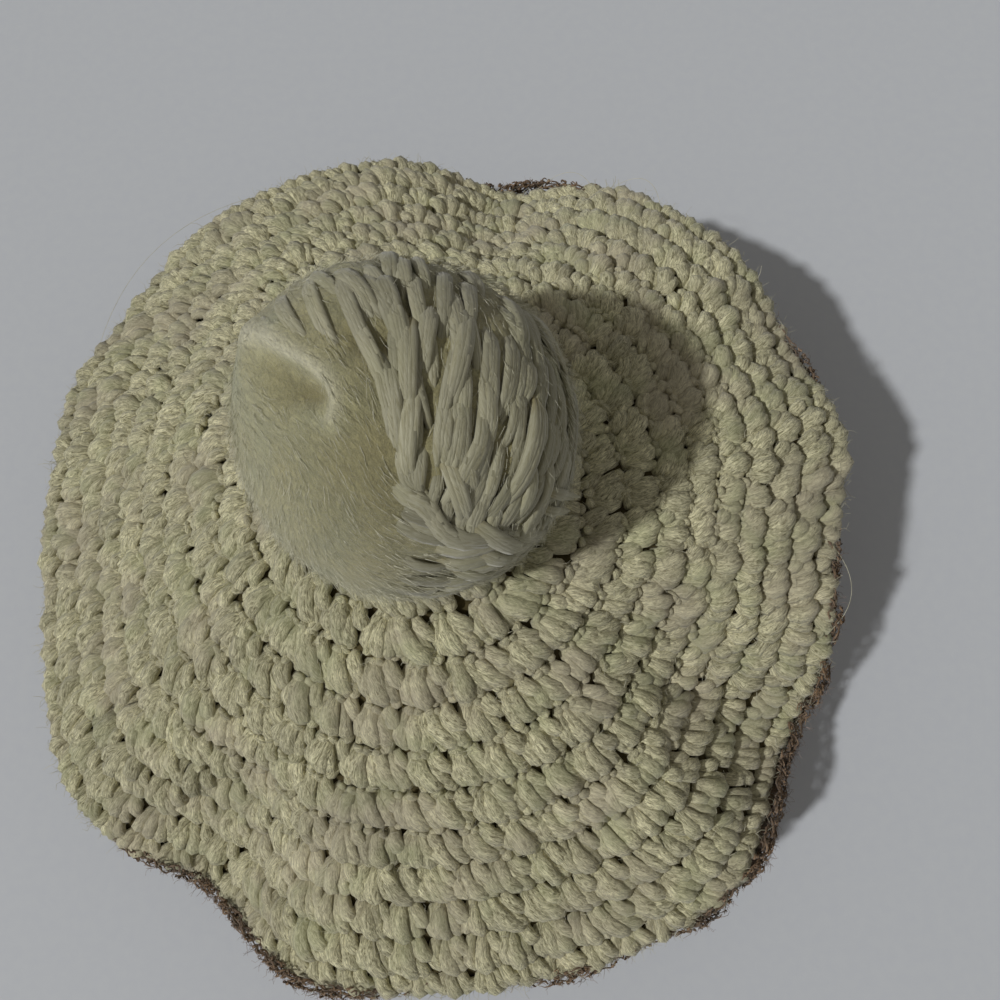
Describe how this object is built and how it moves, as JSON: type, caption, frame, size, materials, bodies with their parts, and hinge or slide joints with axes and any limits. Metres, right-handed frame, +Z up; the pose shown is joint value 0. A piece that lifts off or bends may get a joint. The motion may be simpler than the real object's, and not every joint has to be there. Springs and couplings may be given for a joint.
{
  "type": "tam o shanter",
  "caption": "Soft round crocheted tam with a domed, folded crown, a rolled rim that turns back under to a head band, and a yarn pompom on top.",
  "frame": {"origin": "on the surface the hat lies on, under the centre of the box round its outline", "axes": "+Z up through the crown to the pompom, -Y towards the viewer in the picture, +X to the viewer's right"},
  "size_m": [0.2564, 0.2732, 0.1648],
  "materials": {
    "cream_yarn": "thick plied cream yarn, fuzzy, slightly shiny",
    "brown_yarn": "fuzzy brown yarn",
    "pompom_yarn": "cut cream yarn, felted at its ends"
  },
  "bodies": {
    "root": {"crown": "cream_yarn", "underside": "brown_yarn", "band": "brown_yarn", "pompom": "pompom_yarn"}
  },
  "joints": []
}
